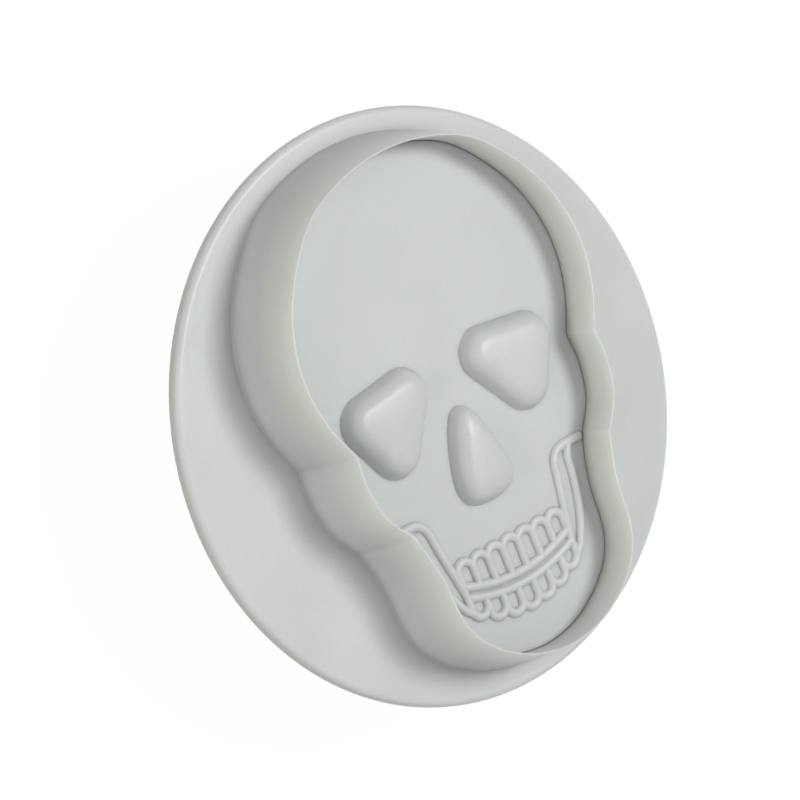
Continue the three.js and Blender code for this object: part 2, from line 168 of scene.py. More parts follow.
BOSS_ANGLE = math.radians(67)
BOSS_FLANK = 0.52
BOSS_ROUND = 2.6
DOME_ANGLE = math.radians(5)
DOME_REACH = 3.2
RIDGE_BLUR = 0.45
RIDGE_START = 1.2
RIDGE_RUN = 1.6

# How finely the shapes are made
COLUMNS = 960
OUTLINE_STEP = 0.4
FINE_STEP = TURN / 10000
OFFSET_ROUNDS = 9
CREASE_BLUR = 0.5
CREASE_REACH = 6
SUPPORT = 0.12
SUPPORT_SHARE = 0.35
LEAST_SUPPORT = 0.01
SEGMENTS = 128
KNOB_SEGMENTS = 192
WASHER_SEGMENTS = 96
SCREW_SEGMENTS = 48
MERGE_DISTANCE = 1e-7
SHARP_EDGE = 35
SHARP_ON_PLATE = 60
SHARP_ON_SCREW = 40
SHARP_ON_SPRING = 50
BOSS_STEP = 0.2
LINE_STEP = 0.1
EYE_BOX = ((0, -9), (23, 12))
NOSE_BOX = ((-7, -17.5), (7, 1))
LINE_BOX = ((-2.2, -36), (20, -11))
BOSS_ROWS = (-0.35, -0.12, 0, 0.05, 0.13, 0.26, 0.39, BOSS_FLANK, 0.66, 0.82, 1, 1.2, 1.45, 1.7, 2,
             2.3, 2.65, 3, 3.5, 4.1, 4.8)
LINE_ROWS = (1, 0.86, LINE_HALF, 0.72, 0.64, 0.52, 0.38, 0.22, 0.08)
TEETH_NET = ((-12, 12.1), (-34, -21.4), 0.3)
WIDE_NET = ((-28, 28.1), (-40, 40.1), 1.1)
POINT_GAP = 0.075
BORDER_GAP = 0.12


def spline(points, steps):
    """Points along a smooth run through the given ones, steps to each span."""
    p = np.array(points, float)
    ends = np.vstack([p[:1], p, p[-1:]])
    t = np.linspace(0, 1, steps, endpoint=False)[:, None]
    spans = []
    for a, b, c, d in zip(ends, ends[1:], ends[2:], ends[3:]):
        start, end = (c - a) / 2, (d - b) / 2
        cubic = (2 * b - 2 * c + start + end) * t**3
        spans.append(cubic + (3 * c - 3 * b - 2 * start - end) * t**2 + start * t + b)
    return np.vstack([*spans, p[-1:]])


def mirrored(points):
    """The points on the other side of the skull's middle line, in the opposite order."""
    return [(-x, y) for x, y in reversed(list(points))]


def spaced(points, step):
    """The same run with points at even distances."""
    p = np.array(points, float)
    lengths = np.concatenate([[0], np.cumsum(np.linalg.norm(np.diff(p, axis=0), axis=1))])
    at = np.linspace(0, lengths[-1], max(2, int(round(lengths[-1] / step)) + 1))
    return np.column_stack([np.interp(at, lengths, p[:, 0]), np.interp(at, lengths, p[:, 1])])


def distance(points, starts, ends):
    """Least distance from each point to a set of straight pieces."""
    out = np.empty(len(points))
    at_once = 4000
    run = ends - starts
    square = np.maximum((run**2).sum(axis=1), 1e-12)
    for first in range(0, len(points), at_once):
        p = points[first:first + at_once]
        dx = p[:, 0:1] - starts[:, 0]
        dy = p[:, 1:2] - starts[:, 1]
        share = np.clip((dx * run[:, 0] + dy * run[:, 1]) / square, 0, 1)
        gap = (dx - share * run[:, 0]) ** 2 + (dy - share * run[:, 1]) ** 2
        out[first:first + at_once] = np.sqrt(gap.min(axis=1))
    return out


def inside(points, loop):
    """Which points lie in a closed loop."""
    odd = np.zeros(len(points), bool)
    for (ax, ay), (bx, by) in zip(loop, np.roll(loop, -1, axis=0)):
        if ay == by:
            continue
        crosses = (points[:, 1] > ay) != (points[:, 1] > by)
        odd ^= crosses & (points[:, 0] < ax + (points[:, 1] - ay) * (bx - ax) / (by - ay))
    return odd


def skull_loop():
    """The whole outline as a closed run, anticlockwise."""
    top = spline([*mirrored(CROWN), *CROWN[1:]], 20)
    bottom = spline([*JAW, *mirrored(JAW)[1:]], 16)
    right = spline(CHEEK, 12)
    left = np.array(mirrored(right))
    return np.vstack([top, right[1:], bottom[1:], left[1:-1]])[::-1]


whole_loop = skull_loop()
outline = spaced(np.vstack([whole_loop, whole_loop[:1]]), OUTLINE_STEP)
outline_starts, outline_ends = outline[:-1], outline[1:]


def column_angles():
    """Angle of each column, so that the columns stand at even distances along the outline."""
    even = spaced(outline, FINE_STEP)
    angle = np.unwrap(np.arctan2(even[:, 1], even[:, 0]))
    at = np.linspace(0, len(angle) - 1, COLUMNS, endpoint=False)
    return np.interp(at, np.arange(len(angle)), angle)


angles = column_angles()
rays = np.column_stack([np.cos(angles), np.sin(angles)])
loop_angle = np.unwrap(np.arctan2(outline[:, 1], outline[:, 0]))
loop_radius = np.linalg.norm(outline, axis=1)
middle_radius = np.interp(angles, loop_angle, loop_radius)
offsets_made = {}


def offset_radius(offset):
    """Radius in each column of the curve at a distance from the outline, its creases a little softened."""
    key = round(offset, 4)
    if key not in offsets_made:
        radius = middle_radius + offset
        for _ in range(OFFSET_ROUNDS):
            gap = distance(rays * radius[:, None], outline_starts, outline_ends)
            radius += offset - np.where(radius > middle_radius, gap, -gap)
        columns = np.arange(-CREASE_REACH, CREASE_REACH + 1)
        weights = np.exp(-0.5 * (columns / CREASE_BLUR) ** 2)
        wrapped = np.concatenate([radius[-CREASE_REACH:], radius, radius[:CREASE_REACH]])
        offsets_made[key] = np.convolve(wrapped, weights / weights.sum(), "valid")
    return offsets_made[key]


def arc(centre, start, end, sweep, steps):
    """Points of a round corner about its centre, from one arm to the other."""
    points = []
    for k in range(steps + 1):
        share = k / steps
        mix = start * math.sin((1 - share) * sweep) + end * math.sin(share * sweep)
        points.append(centre + mix / math.sin(sweep))
    return points


def rounded(corners, steps=6):
    """An open run of (u, z, radius) corners, each one rounded and held by a point on the flat beside it."""
    points = np.array([corner[:2] for corner in corners], float)
    lengths = np.linalg.norm(np.diff(points, axis=0), axis=1)
    ways = np.diff(points, axis=0) / lengths[:, None]
    last = len(corners) - 1
    halves, reaches = [0] * len(corners), [0] * len(corners)
    for i in range(1, last):
        halves[i] = math.acos(np.clip(-ways[i - 1] @ ways[i], -1, 1)) / 2
        reaches[i] = corners[i][2] / math.tan(halves[i])
    run = [points[0]]
    for i in range(1, last):
        here, radius, half, reach = points[i], corners[i][2], halves[i], reaches[i]
        if radius == 0:
            run.append(here)
            continue
        back, ahead = -ways[i - 1], ways[i]
        rooms = [lengths[i - 1] - reaches[i - 1] - reach, lengths[i] - reach - reaches[i + 1]]
        supports = [min(SUPPORT, SUPPORT_SHARE * occlusion) for occlusion in rooms]
        if supports[0] > LEAST_SUPPORT:
            run.append(here + back * (reach + supports[0]))
        centre = here + (back + ahead) / np.linalg.norm(back + ahead) * radius / math.sin(half)
        start, end = back * reach + here - centre, ahead * reach + here - centre
        run += arc(centre, start, end, math.pi - 2 * half, steps)
        if supports[1] > LEAST_SUPPORT:
            run.append(here + ahead * (reach + supports[1]))
    run.append(points[last])
    return run


def ring(radius, z):
    """A ring of corners at a height, one for each column."""
    radius = np.broadcast_to(radius, COLUMNS)
    return np.column_stack([rays * radius[:, None], np.full(COLUMNS, float(z))])


def loft(rings, closed=True):
    """Corners and quads of a run of rings that share their columns."""
    count = len(rings[0])
    corners = np.vstack(rings)
    column = np.arange(count)
    after = (column + 1) % count
    quads = []
    for k in range(len(rings) if closed else len(rings) - 1):
        a, b = k * count, (k + 1) % len(rings) * count
        quads.append(np.column_stack([a + column, a + after, b + after, b + column]))
    return corners, np.vstack(quads)


def piece(name, corners, faces, sharp=SHARP_EDGE):
    """A mesh object from corners in millimetres, its faces turned outwards and its shading smooth."""
    mesh = bpy.data.meshes.new(name)
    mesh.from_pydata((np.asarray(corners) * MM).tolist(), [], [tuple(f) for f in faces])
    work = bmesh.new()
    work.from_mesh(mesh)
    bmesh.ops.remove_doubles(work, verts=work.verts, dist=MERGE_DISTANCE)
    bmesh.ops.recalc_face_normals(work, faces=work.faces)
    work.to_mesh(mesh)
    work.free()
    made = bpy.data.objects.new(name, mesh)
    bpy.context.collection.objects.link(made)
    smooth(made, sharp)
    return made


def smooth(made, sharp=SHARP_EDGE):
    """Smooth shading, with edges above an angle in degrees kept crisp."""
    made.data.shade_smooth()
    made.data.set_sharp_from_angle(angle=math.radians(sharp))


def prism(name, loops):
    """A closed solid between two loops of corners."""
    low, high = loops
    count = len(low)
    faces = [tuple(range(count)), tuple(range(2 * count - 1, count - 1, -1))]
    faces += [(k, (k + 1) % count, count + (k + 1) % count, count + k) for k in range(count)]
    return piece(name, [*low, *high], faces)


def turned(profile, segments=SEGMENTS, twist=None):
    """Corners and faces of a closed profile of (radius, height) turned about the axis."""
    corners, faces, rows = [], [], []
    for u, z in profile:
        if abs(u) < 1e-9:
            rows.append([len(corners)])
            corners.append((0, 0, z))
            continue
        rows.append(list(range(len(corners), len(corners) + segments)))
        for k in range(segments):
            angle = TURN * k / segments
            radius = u if twist is None else twist(u, z, angle)
            corners.append((radius * math.cos(angle), radius * math.sin(angle), z))
    for low, high in zip(rows, rows[1:] + rows[:1]):
        for k in range(segments):
            n = (k + 1) % segments
            face = [low[k % len(low)], low[n % len(low)], high[n % len(high)], high[k % len(high)]]
            distinct = list(dict.fromkeys(face))
            if len(distinct) > 2:
                faces.append(distinct)
    return corners, faces


def join_with(target, tool, operation="UNION"):
    """Joins or cuts a piece with another mesh, which is then removed."""
    modifier = target.modifiers.new("join", "BOOLEAN")
    modifier.operation = operation
    modifier.solver = "MANIFOLD"
    modifier.object = tool
    graph = bpy.context.evaluated_depsgraph_get()
    result = bpy.data.meshes.new_from_object(target.evaluated_get(graph))
    target.modifiers.clear()
    old = target.data
    target.data = result
    bpy.data.meshes.remove(old)
    bpy.data.objects.remove(tool)


# The cutter body
def body_shell():
    """The disc with its lip and guide tube, the ribs behind it and the blade wall in front."""
    bulge = []
    for share in WALL_ROWS:
        taper = WALL_TAPER * share + (1 - WALL_TAPER) * share**2
        bulge.append((ROOT_OUTER - (ROOT_OUTER - TIP_OUTER) * taper,
                      DISC_FACE + (BLADE_TOP - DISC_FACE) * share, 0))
    wall = rounded([
        (-WELL_INSET, DISC_FACE, 0),
        (TIP_INNER, DISC_FACE, 0.2),
        (TIP_INNER, BLADE_TOP, 0.06),
        (TIP_OUTER, BLADE_TOP, 0.07),
        *bulge,
        (ROOT_OUTER, DISC_FACE, ROOT_FILLET),
        (ROOT_OUTER + FOOT_RUN, DISC_FACE, 0),
    ])
    rings = [ring(offset_radius(u), z) for u, z in wall]
    edge = offset_radius(ROOT_OUTER + FOOT_RUN)
    last = DISC_RADIUS - RIM_RUN
    least_face = 0.2
    last_inner = np.minimum(edge, last - least_face)
    rings[-1] = ring(last_inner, DISC_FACE)
    for share in (0.25, 0.5, 0.75):
        rings.append(ring(last_inner * (1 - share) + last * share, DISC_FACE))
    inner_lip = DISC_RADIUS - LIP_WIDTH
    seat_outer = SPRING_SEAT + SEAT_WALL
    disc = rounded([
        (last, DISC_FACE, 0),
        (DISC_RADIUS, DISC_FACE, RIM_FRONT),
        (DISC_RADIUS, LIP_BACK, RIM_BACK),
        (inner_lip, LIP_BACK, 0.35),
        (inner_lip, DISC_BACK, 0.4),
        (seat_outer, DISC_BACK, 0.4),
        (seat_outer, LIP_BACK, 0.25),
        (SPRING_SEAT, LIP_BACK, 0.25),
        (SPRING_SEAT, DISC_BACK, 0.2),
        (GUIDE_RADIUS, DISC_BACK, 0.2),
        (GUIDE_RADIUS, GUIDE_END, 0.35),
        (GUIDE_BORE, GUIDE_END, 0.25),
        (GUIDE_BORE, DISC_FACE, 0.25),
        (GUIDE_BORE + BORE_RUN, DISC_FACE, 0),
    ])
    rings += [ring(u, z) for u, z in disc]
    inner = offset_radius(-WELL_INSET)
    for share in (0.33, 0.67):
        rings.append(ring(inner * share + (GUIDE_BORE + BORE_RUN) * (1 - share), DISC_FACE))
    made = piece("body_shell", *loft(rings))
    for k in range(RIBS):
        join_with(made, back_rib(TURN * (k + 0.5) / RIBS))
    smooth(made)
    return made


def back_rib(angle):
    """A straight rib behind the disc, its free edge rounded and its sides a little drafted."""
    edge = LIP_BACK + RIB_STEP
    section = rounded([
        (-RIB_ROOT_HALF, DISC_BACK + RIB_SUNK, 0),
        (-RIB_ROOT_HALF, DISC_BACK, 0),
        (-RIB_EDGE_HALF, edge, RIB_ROUND),
        (RIB_EDGE_HALF, edge, RIB_ROUND),
        (RIB_ROOT_HALF, DISC_BACK, 0),
        (RIB_ROOT_HALF, DISC_BACK + RIB_SUNK, 0),
    ], 4)
    cosine, sine = math.cos(angle), math.sin(angle)
    ends = (SPRING_SEAT + SEAT_WALL / 2, DISC_RADIUS - LIP_WIDTH / 2)
    return prism("rib", [[(reach * cosine - across * sine, reach * sine + across * cosine, z)
                          for across, z in section] for reach in ends])


# The raised face of the plate
def rounded_polygon(corners, radii, steps=40):
    """A closed loop through the given corners, each rounded to its own radius."""
    points = np.array(corners, float)
    loop = []
    for i, corner in enumerate(points):
        back = points[i - 1] - corner
        ahead = points[(i + 1) % len(points)] - corner
        back /= np.linalg.norm(back)
        ahead /= np.linalg.norm(ahead)
        half = math.acos(back @ ahead) / 2
        centre = corner + (back + ahead) / np.linalg.norm(back + ahead) * radii[i] / math.sin(half)
        start = corner + back * radii[i] / math.tan(half) - centre
        end = corner + ahead * radii[i] / math.tan(half) - centre
        loop += arc(centre, start, end, math.pi - 2 * half, steps)
    return np.array(loop)


def on_curve(curve, x):
    """Height of a row of teeth or a lip at a place across the face."""
    return curve[0] + curve[1] * x**2


def line_runs():
    """Middle lines of every raised line on the right half of the face."""
    half = TOOTH_PITCH / 2
    reach = TEETH * half
    runs = [spline(INNER_JAW_LINE, 12), spline(OUTER_JAW_LINE, 12)]
    for curve in (UPPER_LIP, LOWER_LIP):
        x = np.linspace(0, reach, 30)
        runs.append(np.column_stack([x, on_curve(curve, x)]))
    sweep = np.linspace(0, math.pi, 19)
    for i in range(TEETH // 2, TEETH):
        x = (i - TEETH // 2) * TOOTH_PITCH
        for arches, lip, up in ((UPPER_ARCHES, UPPER_LIP, 1), (LOWER_ARCHES, LOWER_LIP, -1)):
            spring = on_curve(arches, x) - up * half
            runs.append(np.column_stack([x + half * np.cos(sweep), spring + up * half * np.sin(sweep)]))
            for side in (x - half, x + half):
                runs.append(np.array([(side, spring), (side, on_curve(lip, side))]))
    return runs


class Field:
    """Heights over a rectangle of the plate's face, read between grid points."""

    def __init__(self, low, high, step, made):
        self.low, self.step = np.array(low, float), step
        self.size = [int(round((b - a) / step)) + 1 for a, b in zip(low, high)]
        x = low[0] + step * np.arange(self.size[0])
        y = low[1] + step * np.arange(self.size[1])
        grid = np.stack(np.meshgrid(x, y, indexing="ij"), axis=-1).reshape(-1, 2)
        self.values = made(grid).reshape(self.size)

    def at(self, points):
        """Values at points, each mixed from the four grid points round it."""
        place = (points - self.low) / self.step
        cell = np.clip(np.floor(place).astype(int), 0, np.array(self.size) - 2)
        share = np.clip(place - cell, 0, 1)
        i, j = cell.T
        u, v = share.T
        v00, v10 = self.values[i, j], self.values[i + 1, j]
        v01, v11 = self.values[i, j + 1], self.values[i + 1, j + 1]
        return (v00 * (1 - u) + v10 * u) * (1 - v) + (v01 * (1 - u) + v11 * u) * v

    def level(self, value):
        """Points where the grid's lines cross a level."""
        found = []
        for axis in (0, 1):
            a = self.values[:-1] if axis == 0 else self.values[:, :-1]
            b = self.values[1:] if axis == 0 else self.values[:, 1:]
            i, j = np.nonzero((a > value) != (b > value))
            share = (value - a[i, j]) / (b[i, j] - a[i, j])
            place = np.column_stack([i, j]).astype(float)
            place[:, axis] += share
            found.append(self.low + place * self.step)
        return np.vstack(found)

    def blurred(self, sigma):
        """The same grid, each value averaged with its neighbours."""
        reach = int(3 * sigma / self.step) + 1
        weights = np.exp(-0.5 * (np.arange(-reach, reach + 1) * self.step / sigma) ** 2)
        weights /= weights.sum()
        values = np.pad(self.values, reach, mode="edge")
        for axis in (0, 1):
            values = np.apply_along_axis(lambda row: np.convolve(row, weights, "valid"), axis, values)
        return values


def boss_field(loop, low, high):
    """Depth inside a boss's foot, with the ridge along its middle softened."""
    starts, ends = loop, np.roll(loop, -1, axis=0)

    def depth(points):
        """Distance in from the loop, below zero outside it."""
        gap = distance(points, starts, ends)
        return np.where(inside(points, loop), gap, -gap)

    field = Field(low, high, BOSS_STEP, depth)
    sharp = field.values
    soft, softer = field.blurred(RIDGE_BLUR), field.blurred(2 * RIDGE_BLUR)
    first = np.clip(sharp / RIDGE_START, 0, 1)
    second = np.clip((sharp - RIDGE_START) / RIDGE_RUN, 0, 1)
    field.values = (sharp * (1 - first) + soft * first) * (1 - second) + softer * second
    return field


def boss_height(depth):
    """Height over the face at a depth inside a boss's foot: a flank, a round shoulder and a low dome."""
    d = np.maximum(depth, 0)
    flank = np.minimum(d, BOSS_FLANK) * math.tan(BOSS_ANGLE)
    shoulder_width = BOSS_ROUND * (math.sin(BOSS_ANGLE) - math.sin(DOME_ANGLE))
    along = np.clip(d - BOSS_FLANK, 0, shoulder_width)
    slope = math.sin(BOSS_ANGLE) - along / BOSS_ROUND
    shoulder = BOSS_ROUND * (np.sqrt(1 - slope**2) - math.cos(BOSS_ANGLE))
    rest = np.clip((d - BOSS_FLANK - shoulder_width) / DOME_REACH, 0, 1)
    dome = math.tan(DOME_ANGLE) * DOME_REACH * (rest - rest**2 / 2)
    return flank + shoulder + dome


def line_height(gap):
    """Height over the face at a distance from the middle of a raised line: nearly a half round."""
    radius = (LINE_RISE**2 + LINE_HALF**2) / (2 * LINE_RISE)
    inner = np.sqrt(np.maximum(radius**2 - np.minimum(gap, LINE_HALF) ** 2, 0))
    return np.maximum(inner - (radius - LINE_RISE), 0)


eye_loop = rounded_polygon(EYE_CORNERS, EYE_RADII)
nose_loop = spline([*NOSE, *mirrored(NOSE)[1:]], 10)[:-1]
eye_field = boss_field(eye_loop, *EYE_BOX)
nose_field = boss_field(nose_loop, *NOSE_BOX)
runs = line_runs()
run_starts = np.vstack([run[:-1] for run in runs])
run_ends = np.vstack([run[1:] for run in runs])
line_field = Field(*LINE_BOX, LINE_STEP, lambda points: distance(points, run_starts, run_ends))


def relief(points):
    """Height of the raised face over the plate."""
    folded = np.column_stack([np.abs(points[:, 0]), points[:, 1]])
    height = np.zeros(len(points))
    for field, shape, use in (
        (eye_field, boss_height, folded),
        (nose_field, boss_height, points),
        (line_field, line_height, folded),
    ):
        place = (use - field.low) / field.step
        size = np.array(field.size) - 1
        within = ((place >= 0) & (place <= size)).all(axis=1)
        height[within] = np.maximum(height[within], shape(field.at(use[within])))
    x, y = folded.T
    occlusion = np.minimum(on_curve(UPPER_LIP, x) - y, y - on_curve(LOWER_LIP, x))
    fade = np.clip((TEETH * TOOTH_PITCH / 2 - x) / LIP_FADE, 0, 1)
    return np.where(occlusion > 0, np.maximum(height, LIP_FILL * fade), height)


def net(x_range, y_range, step):
    """Points of a square net over a rectangle."""
    grid = np.meshgrid(np.arange(*x_range, step), np.arange(*y_range, step))
    return np.stack(grid, axis=-1).reshape(-1, 2)


def face_points():
    """Points that carry the raised face: rows along the foot and flanks, and a wide net over the flats."""
    rows = []
    for level in BOSS_ROWS:
        eye = eye_field.level(level)
        rows += [eye, eye * (-1, 1), nose_field.level(level)]
    for level in LINE_ROWS:
        found = line_field.level(level)
        found = found[found[:, 0] >= -0.02]
        rows += [found, found * (-1, 1)]
    return np.vstack([*rows, net(*TEETH_NET), net(*WIDE_NET)])


def thinned(points, least):
    """Leaves out any point that is closer than this to one already kept."""
    kept, cells = [], {}
    for p in points.tolist():
        i, j = int(math.floor(p[0] / least)), int(math.floor(p[1] / least))
        near = (q for a in (-1, 0, 1) for b in (-1, 0, 1) for q in cells.get((i + a, j + b), ()))
        if all((q[0] - p[0]) ** 2 + (q[1] - p[1]) ** 2 >= least**2 for q in near):
            cells.setdefault((i, j), []).append(p)
            kept.append(p)
    return np.array(kept)


def stamp_face():
    """The embossing plate: a shallow tray with the raised face, and its socket and post behind."""
    flat_edge = SEAM_EDGE - 2 * SEAM_ROUND
    border = ring(offset_radius(flat_edge), PLATE_FACE)[:, :2]
    points = face_points()
    inner = distance(points, outline_starts, outline_ends)
    points = points[inside(points, outline) & (inner > BORDER_GAP - flat_edge)]
    points = thinned(points, POINT_GAP)
    sites = [Vector(p) for p in np.vstack([border, points]).tolist()]
    made = delaunay_2d_cdt(sites, [], [list(range(COLUMNS))], 1, 1e-6)
    flat = np.array([tuple(v) for v in made[0]])
    place = {origin: k for k, origins in enumerate(made[3]) for origin in origins}
    top = np.column_stack([flat, PLATE_FACE + relief(flat)])
    rows = rounded([
        (flat_edge, PLATE_FACE, 0),
        (SEAM_EDGE, PLATE_FACE, SEAM_ROUND),
        (SEAM_EDGE, PLATE_FOOT, 0.15),
        (SEAM_EDGE - SKIRT, PLATE_FOOT, 0.15),
        (SEAM_EDGE - SKIRT, PLATE_BACK, 0.4),
        (SEAM_EDGE - SKIRT - FLAT_RUN, PLATE_BACK, 0),
    ], 5)[1:]
    rings = []
    face_side = PLATE_FACE - SEAM_ROUND - 0.01
    for u, z in rows:
        made_ring = ring(offset_radius(u), z)
        if z > face_side:
            made_ring[:, 2] += relief(made_ring[:, :2])
        rings.append(made_ring)
    hole_end = PLATE_BACK - FIT
    rear = rounded([
        (PLATE_SOCKET + FLAT_RUN, PLATE_BACK, 0),
        (PLATE_SOCKET, PLATE_BACK, 0.3),
        (PLATE_SOCKET, PLATE_FOOT, 0.2),
        (SOCKET_BORE, PLATE_FOOT, 0.2),
        (SOCKET_BORE, PLATE_BACK, 0),
        (POST_RADIUS, PLATE_BACK, 0),
        (POST_RADIUS, POST_END, 0.3),
        (SCREW_HOLE, POST_END, 0.2),
        (SCREW_HOLE, hole_end, 0),
    ], 4)
    rings += [ring(u, z) for u, z in rear]
    corners, quads = loft(rings, closed=False)
    base = len(top)
    count = len(rings) * COLUMNS
    bottom = len(corners)
    corners = np.vstack([top, corners, [(0, 0, hole_end)]])
    faces = [tuple(f) for f in made[2]]
    faces += [tuple(base + q for q in quad) for quad in quads.tolist()]
    for k in range(COLUMNS):
        n = (k + 1) % COLUMNS
        faces.append((place[k], place[n], base + n, base + k))
        faces.append((base + count - COLUMNS + k, base + count - COLUMNS + n, base + bottom))
    result = piece("stamp_face", corners, faces, SHARP_ON_PLATE)
    for across in (False, True):
        join_with(result, stiffener(across))
    smooth(result, SHARP_ON_PLATE)
    return result


def stiffener(across):
    """A thin web behind the plate, from skirt to skirt."""
    x, y = (WEB_REACH_ACROSS, WEB_HALF) if across else (WEB_HALF, WEB_REACH_ALONG)
    shape = [(-x, -y), (x, -y), (x, y), (-x, y)]
    levels = (PLATE_FOOT + WEB_LIFT, PLATE_BACK + WEB_SUNK)
    return prism("web", [[(*corner, z) for corner in shape] for z in levels])


# Pieces of the plunger, and the spring
def knob_shell():
    """The palm knob: a round cup with the spring's seat, the stem's socket and the screw's recess."""
    inner = KNOB_RADIUS - KNOB_WALL
    seat_outer = SPRING_SEAT + SEAT_WALL
    recess = WASHER_RADIUS + WASHER_GAP
    web = WASHER_TOP + FIT
    start = (SCREW_HOLE, (web + STEM_FOOT) / 2, 0)
    profile = rounded([
        start,
        (SCREW_HOLE, web, 0.1),
        (recess, web, 0.1),
        (recess, CAP_LEDGE, 0.15),
        (CAP_RADIUS + FIT, CAP_LEDGE, 0.1),
        (CAP_RADIUS + FIT, 0, 0.25),
        (KNOB_RADIUS, 0, 4),
        (KNOB_RADIUS, KNOB_TOP, 0.8),
        (inner, KNOB_TOP, 0.5),
        (inner, KNOB_FLOOR, 1.6),
        (seat_outer, KNOB_FLOOR, 0.3),
        (seat_outer, KNOB_FLOOR + SEAT_HEIGHT, 0.25),
        (SPRING_SEAT, KNOB_FLOOR + SEAT_HEIGHT, 0.25),
        (SPRING_SEAT, KNOB_FLOOR, 0.1),
        (KNOB_BOSS, KNOB_FLOOR, 0.2),
        (KNOB_BOSS, SOCKET_TOP, 0.3),
        (SOCKET_BORE, SOCKET_TOP, 0.2),
        (SOCKET_BORE, STEM_FOOT, 0.15),
        (SCREW_HOLE, STEM_FOOT, 0.1),
        start,
    ])[:-1]
    return piece("knob_shell", *turned(profile, KNOB_SEGMENTS))


def cap_disc():
    """The cap over the screw."""
    profile = rounded([
        (0, CAP_FACE, 0),
        (CAP_RADIUS, CAP_FACE, 0.3),
        (CAP_RADIUS, CAP_BACK, 0.1),
        (0, CAP_BACK, 0),
    ])
    return piece("cap_disc", *turned(profile))


def stem_tube():
    """The hollow stem between knob and plate."""
    start = (STEM_BORE, 10, 0)
    profile = rounded([
        start,
        (STEM_BORE, STEM_FOOT + FIT, 0.3),
        (STEM_RADIUS, STEM_FOOT + FIT, 0.3),
        (STEM_RADIUS, PLATE_BACK - FIT, 0.3),
        (STEM_BORE, PLATE_BACK - FIT, 0.3),
        start,
    ], 5)[:-1]
    return piece("stem_tube", *turned(profile))


def washer_ring():
    """The washer under the screw's head."""
    start = (SCREW_HOLE, (WASHER_BOTTOM + WASHER_TOP) / 2, 0)
    profile = rounded([
        start,
        (SCREW_HOLE, WASHER_BOTTOM, 0.05),
        (WASHER_RADIUS, WASHER_BOTTOM, 0.1),
        (WASHER_RADIUS, WASHER_TOP, 0.06),
        (SCREW_HOLE, WASHER_TOP, 0.05),
        start,
    ], 3)[:-1]
    return piece("washer_ring", *turned(profile, WASHER_SEGMENTS))


def screw_thread():
    """The screw that clamps the plunger: a pan head with a cross slot and a cut thread."""
    head, shank, core, point = 3, 1.5, 1.15, 0.45
    pitch, rows_a_pitch = 1.05, 14
    low, high, tip, tip_round = 4.4, 28.2, 30, 0.15
    ridge_half, crest_flat, least = 0.24, 1.2, 0.15
    profile = rounded([
        (0, HEAD_BOTTOM, 0),
        (head, HEAD_BOTTOM, 0.75),
        (head, HEAD_TOP, 0.1),
        (core, HEAD_TOP, 0.1),
        (core, low, 0),
    ])
    steps = int((high - low) / pitch * rows_a_pitch)
    profile += [(core, low + (high - low) * k / steps) for k in range(1, steps)]
    profile += [(core, high), (point, tip - tip_round), (0, tip)]

    def thread(radius, z, angle):
        """The shank's radius with the winding ridge on it."""
        if radius != core or z <= low or z > high:
            return radius
        phase = (z / pitch - angle / TURN) % 1
        ridge = max(0, 1 - abs(phase - 0.5) / ridge_half)
        fade = min(1, (z - low) / pitch, max(least, (high - z) / pitch))
        return core + (shank - core) * min(1, ridge * crest_flat) * fade

    made = piece("screw_thread", *turned(profile, SCREW_SEGMENTS, thread), SHARP_ON_SCREW)
    for along in (False, True):
        join_with(made, slot_cutter(along), "DIFFERENCE")
    smooth(made, SHARP_ON_SCREW)
    return made


def slot_cutter(along):
    """One arm of the cross slot, narrower at its bottom."""
    x, y = (0.35, 1.7) if along else (1.7, 0.35)
    above, depth, flare, taper = 0.5, 1, 1.1, 0.8
    shape = [(-x, -y), (x, -y), (x, y), (-x, y)]
    ends = ((HEAD_BOTTOM - above, flare), (HEAD_BOTTOM + depth, taper))
    return prism("slot", [[(a * scale, b * scale, z) for a, b in shape] for z, scale in ends])


def spring_coil():
    """The return spring: closed turns at both ends, even turns between."""
    turns, steps, sides, blend = SPRING_TURNS, 48, 16, 14
    length = SPRING_HIGH - SPRING_LOW
    middle_rise = (length - 2 * CLOSED_RISE) / (turns - 2)
    turn = np.linspace(0, turns, turns * steps + 1)
    rise = np.where((turn < 1) | (turn > turns - 1), CLOSED_RISE, middle_rise)
    weights = np.hanning(2 * blend + 1)
    rise = np.convolve(np.pad(rise, blend, mode="edge"), weights / weights.sum(), "valid")
    height = np.concatenate([[0], np.cumsum((rise[1:] + rise[:-1]) / 2 * np.diff(turn))])
    height = SPRING_LOW + height * length / height[-1]
    angle = TURN * turn
    middles = np.column_stack([SPRING_RADIUS * np.cos(angle), SPRING_RADIUS * np.sin(angle), height])
    tangent = np.gradient(middles, axis=0)
    tangent /= np.linalg.norm(tangent, axis=1)[:, None]
    outward = np.column_stack([np.cos(angle), np.sin(angle), np.zeros(len(angle))])
    up = np.cross(outward, tangent)
    corners = []
    for k, middle in enumerate(middles):
        for side in range(sides):
            around = TURN * side / sides
            corners.append(middle + WIRE_RADIUS * (outward[k] * math.cos(around) + up[k] * math.sin(around)))
    faces = [tuple(range(sides)), tuple(range(len(corners) - 1, len(corners) - sides - 1, -1))]
    for k in range(len(middles) - 1):
        for side in range(sides):
            n = (side + 1) % sides
            faces.append((k * sides + side, k * sides + n, (k + 1) * sides + n, (k + 1) * sides + side))
    return piece("spring_coil", corners, faces, SHARP_ON_SPRING)


